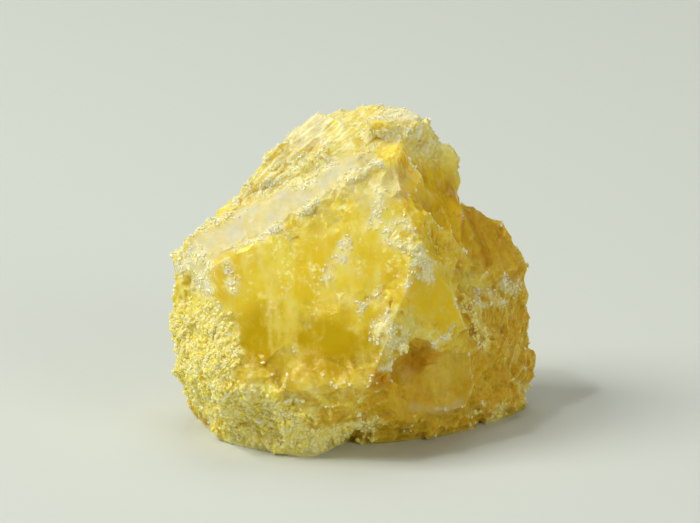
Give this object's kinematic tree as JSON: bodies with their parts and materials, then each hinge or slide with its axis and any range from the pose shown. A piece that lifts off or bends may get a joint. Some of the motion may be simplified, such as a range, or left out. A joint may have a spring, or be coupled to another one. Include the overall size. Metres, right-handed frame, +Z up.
{
  "type": "native sulfur crystal",
  "caption": "Hand-size broken lump of translucent yellow sulfur with a long smooth face, a bevelled top edge, a rough crown and a crusted end, resting on a flat base.",
  "frame": {"origin": "centre of the bounding box at the flat base", "axes": "+Z up from the flat base, +X along the lump's longest extent, the long smooth front face looks along -Y"},
  "size_m": [0.0584, 0.0438, 0.0499],
  "materials": {
    "sulfur": "greasy to glassy broken faces, frosted and grainy where crusted"
  },
  "bodies": {
    "root": {"sulfur_lump": "sulfur"}
  },
  "joints": []
}
